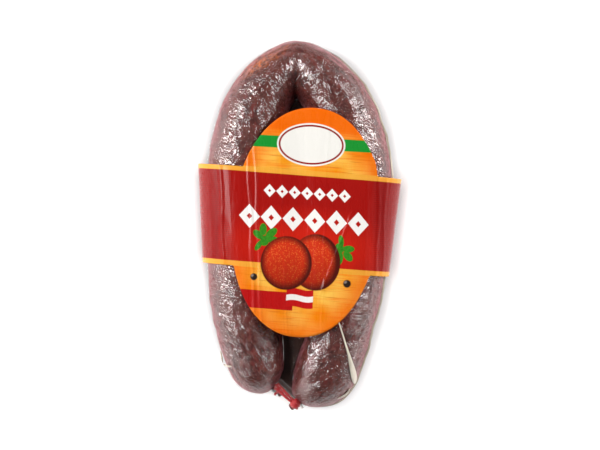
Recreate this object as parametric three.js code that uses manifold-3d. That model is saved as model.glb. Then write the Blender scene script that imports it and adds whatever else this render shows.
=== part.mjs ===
// A dry cured sausage bent into a horseshoe, its two tied ends side by side, sealed in
// clear film and held by a printed sleeve. Millimetres, +Z up, the bend towards +Y.
import * as THREE from "three";
import { mergeVertices } from "three/addons/utils/BufferGeometryUtils.js";
import Module from "manifold-3d";

const wasm = await Module();
wasm.setup();

// ---- driving dimensions ----
const gap = 0.3; // clearance kept between neighbouring pieces
const filmThickness = 0.4;
const sleeveThickness = 0.5;
const packHalfHeight = 18.7; // of the packed sausage at the fullest stretch of a leg
const midHeight = packHalfHeight + gap + sleeveThickness; // the film's seal plane
const flangeWidth = 0.8; // sealed rim that runs round the pack
const flangeThickness = 0.3; // of each film in the rim and in the web between the legs

// The packed sausage seen from above, as stations [outer x, outer y, inner x, inner y, share of the
// half height], from the left tied end round the bend to the right one. The inner side faces the gap.
const stations = [
  [-16.2, -84.2, -12.1, -80.0, 0.14],
  [-20.4, -85.0, -11.1, -79.1, 0.34],
  [-27.0, -83.4, -10.1, -77.9, 0.56],
  [-32.8, -78.6, -9.2, -75.6, 0.70],
  [-37.0, -70.0, -7.9, -71.4, 0.78],
  [-40.2, -61.0, -7.9, -62.8, 0.84],
  [-43.0, -50.5, -8.5, -52.0, 0.90],
  [-45.3, -38.0, -9.3, -39.0, 0.95],
  [-46.6, -23.5, -9.8, -24.0, 0.99],
  [-47.2, -8.0, -9.4, -8.0, 1.00],
  [-47.6, 10.0, -9.2, 10.0, 1.00],
  [-46.8, 27.5, -8.9, 26.5, 1.00],
  [-44.3, 43.0, -8.3, 39.5, 1.00],
  [-40.2, 57.0, -7.0, 49.5, 1.00],
  [-33.6, 70.5, -5.2, 55.8, 0.99],
  [-23.4, 82.2, -3.6, 59.6, 0.96],
  [-12.0, 89.2, -2.6, 61.4, 0.91],
  [-1.0, 91.8, -2.0, 62.0, 0.84],
  [9.8, 89.0, -1.3, 61.4, 0.91],
  [20.2, 82.2, 0.3, 59.6, 0.96],
  [30.8, 71.5, 3.0, 55.8, 0.99],
  [38.2, 58.0, 6.2, 49.5, 1.00],
  [43.2, 43.0, 8.2, 39.5, 1.00],
  [46.2, 27.5, 8.7, 26.5, 1.00],
  [47.0, 10.0, 8.8, 10.0, 1.00],
  [45.2, -8.0, 7.8, -9.0, 1.00],
  [42.8, -25.0, 6.3, -27.0, 0.99],
  [40.0, -40.0, 4.2, -43.5, 0.98],
  [36.0, -54.0, 1.7, -57.0, 0.94],
  [32.7, -66.0, -1.9, -67.6, 0.91],
  [29.3, -76.0, -3.8, -75.6, 0.87],
  [24.8, -84.2, -4.1, -79.6, 0.79],
  [18.6, -89.4, -4.4, -82.4, 0.67],
  [11.2, -91.5, -4.2, -84.4, 0.51],
  [4.8, -91.6, -3.4, -85.6, 0.32],
  [1.9, -90.7, -1.5, -86.3, 0.14],
];
const ringsPerStation = 1.3;
const ringSides = 20;

// Tied necks: a pinched stretch of casing under the clip and the string, then a short tail.
const neckRadius = 1.2;
const tailRadius = 1.6;
const neckLength = 4.0;
const tailLength = 1.6;
const leftNeck = { start: new THREE.Vector2(-13.5, -81.6), out: new THREE.Vector2(0.77, -0.63) };
const rightNeck = { start: new THREE.Vector2(0.0, -88.7), out: new THREE.Vector2(-0.85, -0.53) };

const clipWidth = 1.7;
const clipWall = 0.9;
const clipFrom = 0.5; // from the start of the neck to the clip
const stringRadius = 0.65;
const wrapFrom = 3.1; // from the start of the neck to the string's turn

// Film pocket round the tied ends, an ellipsoid.
const pocketCentre = new THREE.Vector3(-6.2, -85, midHeight + 2);
const pocketRadii = new THREE.Vector3(12.6, 9.2, 8);

// Sleeve: a flat-topped tube round both legs that tapers towards the tied ends.
const sleeveEndRadius = 21.5; // horizontal radius of its two rounded sides
const sleeveHalfWidth = (y) => 48.75 + 0.0875 * y;
const sleeveCentreX = (y) => -0.86 + 0.042 * y;
const sleeveFrom = -60;
const sleeveTo = 62;
const band = [[-60, 30.8], [60, 21.6], [60, -27.5], [-60, -18.3]]; // seen from above
const front = { x: 2.9, y: 0.7, halfWidth: 36.5, halfLength: 56.6, turn: -5.3, fullness: 2.1 }; // oval face, turn in degrees

// ---- materials ----
const casing = new THREE.MeshStandardMaterial({ color: 0x6b4340, roughness: 0.55 });
const clearFilm = new THREE.MeshStandardMaterial({
  color: 0xf3eeea, roughness: 0.12, transparent: true, opacity: 0.25,
});
const printedFilm = new THREE.MeshStandardMaterial({ color: 0xb3201c, roughness: 0.35 });
const aluminium = new THREE.MeshStandardMaterial({ color: 0xc4c6c9, roughness: 0.35, metalness: 1 });
const redString = new THREE.MeshStandardMaterial({ color: 0xcf2630, roughness: 0.5 });

// ---- solids ----
function solidOf(geometry) {
  const bare = geometry.clone();
  bare.deleteAttribute("normal");
  bare.deleteAttribute("uv");
  const merged = mergeVertices(bare, 1e-4);
  return new wasm.Manifold(
    new wasm.Mesh({
      numProp: 3,
      vertProperties: merged.attributes.position.array,
      triVerts: new Uint32Array(merged.index.array),
    }),
  );
}

function meshOf(name, solid, material) {
  const { vertProperties, triVerts } = solid.getMesh();
  const geometry = new THREE.BufferGeometry();
  geometry.setAttribute("position", new THREE.BufferAttribute(vertProperties, 3));
  geometry.setIndex(new THREE.BufferAttribute(triVerts, 1));
  geometry.computeVertexNormals();
  const mesh = new THREE.Mesh(geometry, material);
  mesh.name = name;
  return mesh;
}

// A closed skin over rings of equal length, each ring a list of Vector3, with a flat end at each side.
function loft(rings) {
  const sides = rings[0].length;
  const points = rings.flat();
  const faces = [];
  for (let r = 0; r < rings.length - 1; r++) {
    for (let s = 0; s < sides; s++) {
      const a = r * sides + s;
      const b = r * sides + ((s + 1) % sides);
      faces.push(a, b, b + sides, a, b + sides, a + sides);
    }
  }
  const last = (rings.length - 1) * sides;
  for (let s = 1; s < sides - 1; s++) {
    faces.push(0, s + 1, s);
    faces.push(last, last + s, last + s + 1);
  }
  const geometry = new THREE.BufferGeometry().setFromPoints(points);
  geometry.setIndex(faces);
  const solid = solidOf(geometry);
  if (solid.volume() > 0) return solid;
  for (let f = 0; f < faces.length; f += 3) [faces[f + 1], faces[f + 2]] = [faces[f + 2], faces[f + 1]];
  geometry.setIndex(faces);
  return solidOf(geometry);
}

function prism(outline, low, high) {
  const shape = new THREE.Shape(outline.map(([x, y]) => new THREE.Vector2(x, y)));
  const geometry = new THREE.ExtrudeGeometry(shape, { depth: high - low, bevelEnabled: false });
  geometry.translate(0, 0, low);
  return solidOf(geometry);
}

function ellipsoid(centre, radii, grow = 0) {
  const round = radii.x > 5 ? 24 : 14;
  const geometry = new THREE.SphereGeometry(1, round, Math.round(round / 1.5));
  geometry.scale(radii.x + grow, radii.y + grow, radii.z + grow);
  geometry.translate(centre.x, centre.y, centre.z);
  return solidOf(geometry);
}

// ---- the sausage's body ----
const outerCurve = new THREE.CatmullRomCurve3(
  stations.map(([x, y, , , share]) => new THREE.Vector3(x, y, share * packHalfHeight)),
);
const innerCurve = new THREE.CatmullRomCurve3(
  stations.map(([, , x, y, share]) => new THREE.Vector3(x, y, share * packHalfHeight)),
);

// An elliptical ring between the outer point o and the inner point i, both with their half height in z.
function ring(outer, inner, grow) {
  const centre = outer.clone().add(inner).multiplyScalar(0.5);
  const halfHeight = centre.z + grow;
  centre.z = midHeight;
  const across = new THREE.Vector3(outer.x - inner.x, outer.y - inner.y, 0);
  const halfWidth = across.length() / 2 + grow;
  across.normalize().multiplyScalar(halfWidth);
  return Array.from({ length: ringSides }, (_, s) => {
    const angle = (2 * Math.PI * s) / ringSides;
    const point = centre.clone().addScaledVector(across, Math.cos(angle));
    point.z += halfHeight * Math.sin(angle);
    return point;
  });
}

function bodyRings(grow) {
  const count = Math.round((stations.length - 1) * ringsPerStation);
  return Array.from({ length: count + 1 }, (_, r) =>
    ring(outerCurve.getPoint(r / count), innerCurve.getPoint(r / count), grow),
  );
}

// A ring square to a neck, at a distance along it; side is +1 on the left neck and -1 on the right one.
function neckRing(neck, along, radius, side) {
  const centre = neck.start.clone().addScaledVector(neck.out, along);
  const square = new THREE.Vector2(neck.out.y, -neck.out.x).multiplyScalar(side * radius);
  const outer = new THREE.Vector3(centre.x + square.x, centre.y + square.y, radius);
  const inner = new THREE.Vector3(centre.x - square.x, centre.y - square.y, radius);
  return ring(outer, inner, 0);
}

function neckRings(neck, side) {
  const tailFrom = neckLength + 0.4;
  return [
    neckRing(neck, clipFrom - gap, neckRadius, side),
    neckRing(neck, neckLength, neckRadius, side),
    neckRing(neck, tailFrom, tailRadius, side),
    neckRing(neck, tailFrom + tailLength, tailRadius * 0.8, side),
  ];
}

const packInset = -(filmThickness + gap); // the casing lies this far inside the packed outline
const sausage = loft([
  ...neckRings(leftNeck, 1).reverse(),
  ...bodyRings(packInset),
  ...neckRings(rightNeck, -1),
]);

// ---- the two films ----
const filmOutside = loft(bodyRings(0)).add(ellipsoid(pocketCentre, pocketRadii, filmThickness));
const filmInside = loft(bodyRings(-filmThickness)).add(ellipsoid(pocketCentre, pocketRadii));

function flangePlate() {
  const count = 60;
  const outline = Array.from({ length: count + 1 }, (_, k) => {
    const outer = outerCurve.getPoint(k / count);
    const inner = innerCurve.getPoint(k / count);
    const out = new THREE.Vector2(outer.x - inner.x, outer.y - inner.y).normalize();
    return [outer.x + flangeWidth * out.x, outer.y + flangeWidth * out.y];
  });
  const low = midHeight - gap / 2 - flangeThickness;
  const high = midHeight + gap / 2 + flangeThickness;
  const round = Array.from({ length: 40 }, (_, k) => {
    const angle = (2 * Math.PI * k) / 40;
    const grow = filmThickness + flangeWidth;
    return [
      pocketCentre.x + (pocketRadii.x + grow) * Math.cos(angle),
      pocketCentre.y + (pocketRadii.y + grow * 0.5) * Math.sin(angle),
    ];
  });
  return prism(outline, low, high).add(prism(round, low, high));
}

const filmPair = filmOutside.add(flangePlate()).subtract(filmInside);
const everywhere = [[-80, -120], [80, -120], [80, 120], [-80, 120]];
const frontFilm = filmPair.intersect(prism(everywhere, midHeight + gap / 2, 2 * midHeight));
const backFilm = filmPair.intersect(prism(everywhere, 0, midHeight - gap / 2));

// ---- the printed sleeve ----
function sleeveSection(y, inset) {
  const centre = sleeveCentreX(y);
  const straight = sleeveHalfWidth(y) - sleeveEndRadius;
  const rx = sleeveEndRadius - inset;
  const rz = midHeight - inset;
  const quarter = 7;
  const points = [];
  for (const side of [1, -1]) {
    for (let k = -quarter; k <= quarter; k++) {
      const angle = (side * k * Math.PI) / (2 * quarter);
      const x = centre + side * (straight + rx * Math.cos(angle));
      points.push(new THREE.Vector3(x, y, midHeight + side * rz * Math.sin(side * angle)));
    }
  }
  return points;
}

const sleeveTube = loft([sleeveSection(sleeveFrom, 0), sleeveSection(sleeveTo, 0)]).subtract(
  loft([sleeveSection(sleeveFrom - 1, sleeveThickness), sleeveSection(sleeveTo + 1, sleeveThickness)]),
);
const ovalOutline = Array.from({ length: 56 }, (_, k) => {
  const angle = (2 * Math.PI * k) / 56;
  const swell = (part) => Math.sign(part) * Math.abs(part) ** (2 / front.fullness);
  const point = new THREE.Vector2(
    front.halfWidth * swell(Math.cos(angle)),
    front.halfLength * swell(Math.sin(angle)),
  );
  point.rotateAround(new THREE.Vector2(), THREE.MathUtils.degToRad(front.turn));
  return [point.x + front.x, point.y + front.y];
});
const sleeveOutline = prism(band, -1, 2 * midHeight + 1).add(prism(ovalOutline, midHeight, 2 * midHeight + 1));
const sleeve = sleeveTube.intersect(sleeveOutline);

// ---- clips and string at the tied ends ----
// Turns a geometry whose axis is +Y onto a neck, its middle at a distance along the neck.
function ontoNeck(geometry, neck, along) {
  const out = new THREE.Vector3(neck.out.x, neck.out.y, 0).normalize();
  geometry.applyQuaternion(new THREE.Quaternion().setFromUnitVectors(new THREE.Vector3(0, 1, 0), out));
  geometry.translate(neck.start.x + out.x * along, neck.start.y + out.y * along, midHeight);
  return solidOf(geometry);
}

function clip(neck) {
  const inner = neckRadius + gap;
  const outer = inner + clipWall;
  const half = clipWidth / 2;
  const profile = [
    [inner, -half], [outer - 0.2, -half], [outer, -half + 0.3], [outer, half - 0.3],
    [outer - 0.2, half], [inner, half], [inner, -half],
  ].map(([x, y]) => new THREE.Vector2(x, y));
  return ontoNeck(new THREE.LatheGeometry(profile, 24), neck, clipFrom + half);
}

function stringTurn(neck) {
  const turn = new THREE.TorusGeometry(neckRadius + gap + stringRadius, stringRadius, 8, 20);
  turn.rotateX(Math.PI / 2);
  return ontoNeck(turn, neck, wrapFrom);
}

function stringStrand(points) {
  const route = new THREE.CatmullRomCurve3(points);
  const section = new THREE.Shape().absarc(0, 0, stringRadius, 0, 2 * Math.PI);
  return solidOf(
    new THREE.ExtrudeGeometry(section, { steps: 10, curveSegments: 4, extrudePath: route }),
  );
}

const overNeck = midHeight + neckRadius + gap + 1.7 * stringRadius; // height of the strands over a neck
const leftKnot = new THREE.Vector3(-10.8, -83.1, overNeck + 1.3);
const rightKnot = new THREE.Vector3(-2.7, -90.1, overNeck + 1.9);
const strandSide = new THREE.Vector3(0.63, 0.77, 0).multiplyScalar(stringRadius * 0.9);
let tieString = stringTurn(leftNeck).add(stringTurn(rightNeck));
tieString = tieString.add(ellipsoid(leftKnot, new THREE.Vector3(2.1, 1.7, 1.6)));
tieString = tieString.add(ellipsoid(rightKnot, new THREE.Vector3(2.5, 2.4, 1.9)));
for (const side of [-1, 1]) {
  const middle = leftKnot.clone().lerp(rightKnot, 0.5);
  tieString = tieString.add(
    stringStrand(
      [leftKnot, middle, rightKnot].map((p) => p.clone().addScaledVector(strandSide, side)),
    ),
  );
}

// ---- assembly ----
const pieces = [
  meshOf("sausage", sausage, casing),
  meshOf("front_film", frontFilm, clearFilm),
  meshOf("back_film", backFilm, clearFilm),
  meshOf("label_sleeve", sleeve, printedFilm),
  meshOf("end_clip_left", clip(leftNeck), aluminium),
  meshOf("end_clip_right", clip(rightNeck), aluminium),
  meshOf("tie_string", tieString, redString),
];

// The part's origin is under the middle of its outline, on the surface it lies on.
const pack = new THREE.Group();
pack.add(...pieces);
const size = new THREE.Box3().setFromObject(pack);
const middle = size.getCenter(new THREE.Vector3());
pack.position.set(-middle.x, -middle.y, -size.min.z);

const curedSausage = new THREE.Group();
curedSausage.add(pack);
export default curedSausage;
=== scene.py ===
import math

import bmesh
import bpy
import numpy as np
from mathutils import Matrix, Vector


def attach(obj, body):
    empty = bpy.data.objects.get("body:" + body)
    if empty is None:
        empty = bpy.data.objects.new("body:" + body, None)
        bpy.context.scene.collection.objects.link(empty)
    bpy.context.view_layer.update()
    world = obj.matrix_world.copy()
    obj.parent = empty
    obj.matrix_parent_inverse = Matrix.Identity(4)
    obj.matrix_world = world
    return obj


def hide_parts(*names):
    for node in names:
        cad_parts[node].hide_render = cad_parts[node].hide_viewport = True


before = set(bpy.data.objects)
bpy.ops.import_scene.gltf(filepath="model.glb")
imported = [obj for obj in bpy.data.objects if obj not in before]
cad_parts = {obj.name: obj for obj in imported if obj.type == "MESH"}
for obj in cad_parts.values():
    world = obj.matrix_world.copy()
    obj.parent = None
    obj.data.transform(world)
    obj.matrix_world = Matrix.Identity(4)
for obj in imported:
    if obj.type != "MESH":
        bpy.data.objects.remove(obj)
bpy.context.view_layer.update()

mm = 0.001
scene = bpy.context.scene

outline = {
    "shift": (0.10, 1.11),  # from the outline's own axes to the part's frame
    "halfHeight": 18.7,
    "midHeight": 19.5,
    "bendStation": 17.0,
}
# Stations from the left tied end round the bend to the right one, seen from above, in mm:
# outer x, outer y, inner x, inner y, share of the half height.
stationRows = [
    (-16.2, -84.2, -12.1, -80.0, 0.14),
    (-20.4, -85.0, -11.1, -79.1, 0.34),
    (-27.0, -83.4, -10.1, -77.9, 0.56),
    (-32.8, -78.6, -9.2, -75.6, 0.70),
    (-37.0, -70.0, -7.9, -71.4, 0.78),
    (-40.2, -61.0, -7.9, -62.8, 0.84),
    (-43.0, -50.5, -8.5, -52.0, 0.90),
    (-45.3, -38.0, -9.3, -39.0, 0.95),
    (-46.6, -23.5, -9.8, -24.0, 0.99),
    (-47.2, -8.0, -9.4, -8.0, 1.00),
    (-47.6, 10.0, -9.2, 10.0, 1.00),
    (-46.8, 27.5, -8.9, 26.5, 1.00),
    (-44.3, 43.0, -8.3, 39.5, 1.00),
    (-40.2, 57.0, -7.0, 49.5, 1.00),
    (-33.6, 70.5, -5.2, 55.8, 0.99),
    (-23.4, 82.2, -3.6, 59.6, 0.96),
    (-12.0, 89.2, -2.6, 61.4, 0.91),
    (-1.0, 91.8, -2.0, 62.0, 0.84),
    (9.8, 89.0, -1.3, 61.4, 0.91),
    (20.2, 82.2, 0.3, 59.6, 0.96),
    (30.8, 71.5, 3.0, 55.8, 0.99),
    (38.2, 58.0, 6.2, 49.5, 1.00),
    (43.2, 43.0, 8.2, 39.5, 1.00),
    (46.2, 27.5, 8.7, 26.5, 1.00),
    (47.0, 10.0, 8.8, 10.0, 1.00),
    (45.2, -8.0, 7.8, -9.0, 1.00),
    (42.8, -25.0, 6.3, -27.0, 0.99),
    (40.0, -40.0, 4.2, -43.5, 0.98),
    (36.0, -54.0, 1.7, -57.0, 0.94),
    (32.7, -66.0, -1.9, -67.6, 0.91),
    (29.3, -76.0, -3.8, -75.6, 0.87),
    (24.8, -84.2, -4.1, -79.6, 0.79),
    (18.6, -89.4, -4.4, -82.4, 0.67),
    (11.2, -91.5, -4.2, -84.4, 0.51),
    (4.8, -91.6, -3.4, -85.6, 0.32),
    (1.9, -90.7, -1.5, -86.3, 0.14),
]
mid = outline["midHeight"]
flowRadius = 18.5
lastStation = len(stationRows) - 1


def placed(points):
    # Outline millimetres to the part's frame in metres.
    moved = np.array(points, float)
    moved[..., 0] += outline["shift"][0]
    moved[..., 1] += outline["shift"][1]
    return moved * mm


def splineRows(rows, at):
    # Uniform Catmull-Rom through the rows: cubics whose slope at a row is half its neighbours' chord.
    rows = np.asarray(rows, float)
    last = len(rows) - 1
    at = np.clip(at, 0, last)
    k = np.minimum(np.floor(at).astype(int), last - 1)
    t = (at - k)[..., None]
    p0, p1 = rows[np.maximum(k - 1, 0)], rows[k]
    p2, p3 = rows[k + 1], rows[np.minimum(k + 2, last)]
    return 0.5 * (
        2 * p1 + (p2 - p0) * t + (2 * p0 - 5 * p1 + 4 * p2 - p3) * t**2 + (3 * p1 - p0 - 3 * p2 + p3) * t**3
    )


def smoothStep(low, high, x):
    t = np.clip((x - low) / (high - low), 0, 1)
    return t * t * (3 - 2 * t)


def evenStations(count, first=0.0, last=lastStation):
    # Station values evenly spaced along the middle line, with their distance along it in mm.
    fine = np.linspace(first, last, 2000)
    rows = splineRows(stationRows, fine)
    middle = (rows[:, :2] + rows[:, 2:4]) / 2
    run = np.concatenate([[0], np.cumsum(np.linalg.norm(np.diff(middle, axis=0), axis=1))])
    want = np.linspace(0, run[-1], count)
    return np.interp(want, run, fine), want


def flowAt(along, turn):
    # Where a point lies on a straightened leg, so that folds and grain follow the bend.
    along, y, z = np.broadcast_arrays(along, flowRadius * np.cos(turn), flowRadius * np.sin(turn))
    return np.stack([along, y, z], axis=-1)


def ripple(along, turn, lengthAlong, lengthRound, seed, waves=26):
    # A sum of cosine waves with random directions on the straightened leg, about 1 in size.
    rng = np.random.default_rng(seed)
    direction = rng.normal(size=(waves, 3))
    direction /= np.linalg.norm(direction, axis=1)[:, None]
    pitch = 2 * np.pi * rng.uniform(0.7, 1.4, waves)
    phase = rng.uniform(0, 2 * np.pi, waves)
    x = along / lengthAlong
    y = flowRadius * np.cos(turn) / lengthRound
    z = flowRadius * np.sin(turn) / lengthRound
    total = np.zeros(np.broadcast(along, turn).shape)
    for (a, b, c), p, f in zip(direction, pitch, phase):
        total += np.cos(p * (a * x + b * y + c * z) + f)
    return total * math.sqrt(2 / waves)


# What both the casing and the film follow: slow lumps, and the valley where the bend folds onto itself.
body = {
    "lumps": 0.13,
    "lumpLength": 13.0,
    "dimples": 0.09,
    "dimpleLength": 5.5,
    "creaseDepth": 5.8,
    "creaseWidth": 2.7,
}


def bodyGrid(stations, along, turns, grow):
    # Each ring is an ellipse between the outer and the inner outline point. The lumps move it along its own
    # normal, and the crease lowers it towards the seal plane by exp(-distance / width).
    rows = splineRows(stationRows, stations)
    outer, inner, share = rows[:, None, :2], rows[:, None, 2:4], rows[:, None, 4]
    across = outer - inner
    width = np.linalg.norm(across, axis=2)
    across = across / width[..., None]
    turn = np.broadcast_to(turns, (len(stations), len(turns)))
    run = np.broadcast_to(along[:, None], turn.shape)
    lump = body["lumps"] * ripple(run, turn, body["lumpLength"], body["lumpLength"], 3)
    lump = lump + body["dimples"] * ripple(run, turn, body["dimpleLength"], body["dimpleLength"], 4)
    middle = (outer[..., 1] + inner[..., 1]) / 2
    held = smoothStep(40, 26, np.abs(middle - 1))  # the sleeve holds this part of the legs
    fade = np.clip(width / 30, 0, 1) ** 2 * (1 - 0.8 * held)
    grow = grow - 0.45 * held
    halfWidth = width / 2 + grow + lump * fade
    halfHeight = share * outline["halfHeight"] + grow + lump * fade
    x = (outer[..., 0] + inner[..., 0]) / 2 + across[..., 0] * halfWidth * np.cos(turn)
    y = (outer[..., 1] + inner[..., 1]) / 2 + across[..., 1] * halfWidth * np.cos(turn)
    rise = halfHeight * np.sin(turn)
    reach = smoothStep(93, 64, y)
    valley = np.abs(x + 1.0 + 0.06 * (90 - y))
    valley = np.sqrt(valley**2 + 0.25) / (body["creaseWidth"] * (0.35 + 0.9 * reach))
    crease = body["creaseDepth"] * (0.1 + 0.9 * reach) * np.exp(-valley) * smoothStep(45, 60, y)
    rise = rise * (1 - np.clip(crease / outline["halfHeight"], 0, 0.8))
    return np.stack([x, y, mid + rise], axis=2)


def meshPiece(name, grids):
    # One mesh from grids of points: each is (points, joinedRound, cappedStart, cappedEnd). A cap is a fan
    # to the mean of the end row.
    points, faces, start = [], [], 0
    for grid, joined, capStart, capEnd in grids:
        rows, cols = grid.shape[:2]
        index = np.arange(rows * cols).reshape(rows, cols) + start
        if joined:
            index = np.concatenate([index, index[:, :1]], axis=1)
        quads = np.stack([index[:-1, :-1], index[:-1, 1:], index[1:, 1:], index[1:, :-1]], axis=2)
        faces.extend(quads.reshape(-1, 4).tolist())
        points.append(grid.reshape(-1, 3))
        start += rows * cols
        for wanted, row, flip in ((capStart, 0, True), (capEnd, -1, False)):
            if wanted:
                points.append(grid[row].mean(0)[None])
                edge = index[row]
                for a, b in zip(edge[:-1], edge[1:]):
                    faces.append([int(b), int(a), start] if flip else [int(a), int(b), start])
                start += 1
    mesh = bpy.data.meshes.new(name)
    mesh.from_pydata(placed(np.concatenate(points)).tolist(), [], faces)
    mesh.update()
    mesh.polygons.foreach_set("use_smooth", [True] * len(mesh.polygons))
    piece = bpy.data.objects.new(name, mesh)
    scene.collection.objects.link(piece)
    return piece


def giveWall(piece, thickness):
    # Gives an open sheet its thickness, inwards.
    wall = piece.modifiers.new("wall", "SOLIDIFY")
    wall.thickness = thickness * mm
    wall.offset = -1


def faceOut(piece):
    # Turns the faces of closed shells outwards.
    work = bmesh.new()
    work.from_mesh(piece.data)
    bmesh.ops.recalc_face_normals(work, faces=work.faces)
    work.to_mesh(piece.data)
    work.free()


def addAttribute(piece, name, values, kind="FLOAT", field="value"):
    layer = piece.data.attributes.new(name, kind, "POINT")
    layer.data.foreach_set(field, np.asarray(values, np.float32).reshape(-1))


def linear(red, green, blue):
    # A colour given as 0-255 display values, as linear light.
    values = np.array([red, green, blue]) / 255
    light = np.where(values <= 0.04045, values / 12.92, ((values + 0.055) / 1.055) ** 2.4)
    return (*light.tolist(), 1.0)


# The node tree being built, which every node helper below adds to.
work = {"tree": None}


def plug(socket, value):
    if isinstance(value, bpy.types.NodeSocket):
        work["tree"].links.new(value, socket)
    else:
        socket.default_value = value


def addNode(kind, inputs=None, **settings):
    node = work["tree"].nodes.new("ShaderNode" + kind)
    for key, value in settings.items():
        setattr(node, key, value)
    for key, value in (inputs or {}).items():
        plug(node.inputs[key], value)
    return node


def maths(operation, *values, clamp=False):
    node = addNode("Math", dict(enumerate(values)), operation=operation, use_clamp=clamp)
    return node.outputs[0]


def times(first, second, clamp=False):
    return maths("MULTIPLY", first, second, clamp=clamp)


def remap(value, fromLow, fromHigh, toLow=0.0, toHigh=1.0):
    inputs = {"Value": value, "From Min": fromLow, "From Max": fromHigh, "To Min": toLow, "To Max": toHigh}
    return addNode("MapRange", inputs).outputs[0]


def mixColour(amount, first, second):
    return addNode("Mix", {0: amount, 6: first, 7: second}, data_type="RGBA").outputs[2]


def mixValue(amount, first, second):
    return addNode("Mix", {0: amount, 2: first, 3: second}, data_type="FLOAT").outputs[0]


def vectorMaths(operation, *values):
    return addNode("VectorMath", dict(enumerate(values)), operation=operation).outputs[0]


def stretched(vector, scale):
    return vectorMaths("MULTIPLY", vector, scale)


def bentBySlowNoise(vector, scale, reach):
    slow = addNode("TexNoise", {"Vector": vector, "Scale": scale, "Detail": 2.0})
    return vectorMaths("MULTIPLY_ADD", slow.outputs["Color"], reach, vector)


def combined(x, y, z):
    return addNode("CombineXYZ", {0: x, 1: y, 2: z}).outputs[0]


def separated(vector):
    return addNode("SeparateXYZ", {0: vector}).outputs


def awayFrom(value, middle):
    return maths("ABSOLUTE", maths("SUBTRACT", value, middle))


def fromAttribute(name, output="Fac"):
    return addNode("Attribute", attribute_name=name).outputs[output]


def placeInMm():
    return stretched(addNode("TexCoord").outputs["Object"], (1000.0, 1000.0, 1000.0))


def bumped(height, strength, distance):
    inputs = {"Height": height, "Strength": strength, "Distance": distance}
    return addNode("Bump", inputs).outputs["Normal"]


def noise(vector, scale, detail=2.0, roughness=0.5):
    inputs = {"Vector": vector, "Scale": scale, "Detail": detail, "Roughness": roughness}
    return addNode("TexNoise", inputs).outputs["Fac"]


def newMaterial(name):
    material = bpy.data.materials.new(name)
    material.use_nodes = True
    work["tree"] = material.node_tree
    work["tree"].nodes.clear()
    return material, addNode("OutputMaterial")


def coverWith(output, sockets):
    shader = addNode("BsdfPrincipled", sockets)
    plug(output.inputs["Surface"], shader.outputs[0])


def newGroup(name, inputs, outputs):
    group = work["tree"] = bpy.data.node_groups.new(name, "ShaderNodeTree")
    for label, kind, value in inputs:
        socket = group.interface.new_socket(label, in_out="INPUT", socket_type="NodeSocket" + kind)
        if value is not None:
            socket.default_value = value
    for label, kind in outputs:
        group.interface.new_socket(label, in_out="OUTPUT", socket_type="NodeSocket" + kind)
    return group, group.nodes.new("NodeGroupInput").outputs, group.nodes.new("NodeGroupOutput").inputs


sausageLook = {
    "rings": 560,
    "sides": 150,
    "grow": -0.38,
    "wrinkle": 0.11,
    "wrinkleLength": 2.3,
    "necks": [((-13.5, -81.6), (0.77, -0.63), 1), ((0.0, -88.7), (-0.85, -0.53), -1)],
    # Distance along the neck and radius there.
    "neckSteps": [
        (0.2, 1.2), (1.2, 1.18), (2.4, 1.2), (4.0, 1.2), (4.3, 1.45),
        (4.8, 1.7), (5.5, 1.6), (5.9, 1.2), (6.0, 0.5),
    ],
    "colours": {
        "dark": (34, 9, 6),
        "base": (90, 32, 20),
        "spot": (116, 24, 12),
        "mauve": (112, 48, 44),
        "fleck": (170, 102, 92),
        # hair: pale strokes painted as glints of the crinkled film
        "hair": (152, 82, 78),
        "amber": (222, 112, 32),
        "rim": (190, 120, 128),
        # rim: colour of the painted edge reflection
        "sheen": (226, 178, 190),
    },
}


def neckGrid(neck, turns):
    # Circles square to the neck's axis, growing and shrinking along it; their folds are cosines round it.
    start, out, side = neck
    steps = np.array(sausageLook["neckSteps"])
    centre = np.array(start) + np.array(out) * steps[:, :1]
    square = side * np.array([out[1], -out[0]])
    pleat = 1 + 0.10 * np.cos(7 * turns)
    radius = steps[:, 1:] * pleat
    xy = centre[:, None] + square * (radius * np.cos(turns))[..., None]
    z = mid + radius * np.sin(turns)
    return np.concatenate([xy, z[..., None]], axis=2)


def makeSausage():
    turns = np.linspace(0, 2 * np.pi, sausageLook["sides"], endpoint=False)
    stations, along = evenStations(sausageLook["rings"])
    skin = bodyGrid(stations, along, turns, sausageLook["grow"])
    turn, run = np.broadcast_arrays(turns, along[:, None])
    wrinkle = ripple(run, turn, sausageLook["wrinkleLength"], sausageLook["wrinkleLength"] * 1.4, 9)
    wrinkle = sausageLook["wrinkle"] * (1 - np.abs(wrinkle))
    skin[..., 2] += wrinkle * np.sin(turn)
    left, right = (neckGrid(neck, turns) for neck in sausageLook["necks"])
    grid = np.concatenate([left[::-1], skin, right])
    piece = meshPiece("sausage_skin", [(grid, True, True, True)])
    extra = len(left)
    reach = np.concatenate([-np.arange(extra, 0, -1.0), along, along[-1] + np.arange(1, extra + 1.0)])
    flow = flowAt(reach[:, None], np.broadcast_to(turns, grid.shape[:2])).reshape(-1, 3)
    ends = np.array([[reach[0], 0, 0], [reach[-1], 0, 0]])
    addAttribute(piece, "flow", np.concatenate([flow, ends]), "FLOAT_VECTOR", "vector")
    return piece


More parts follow.
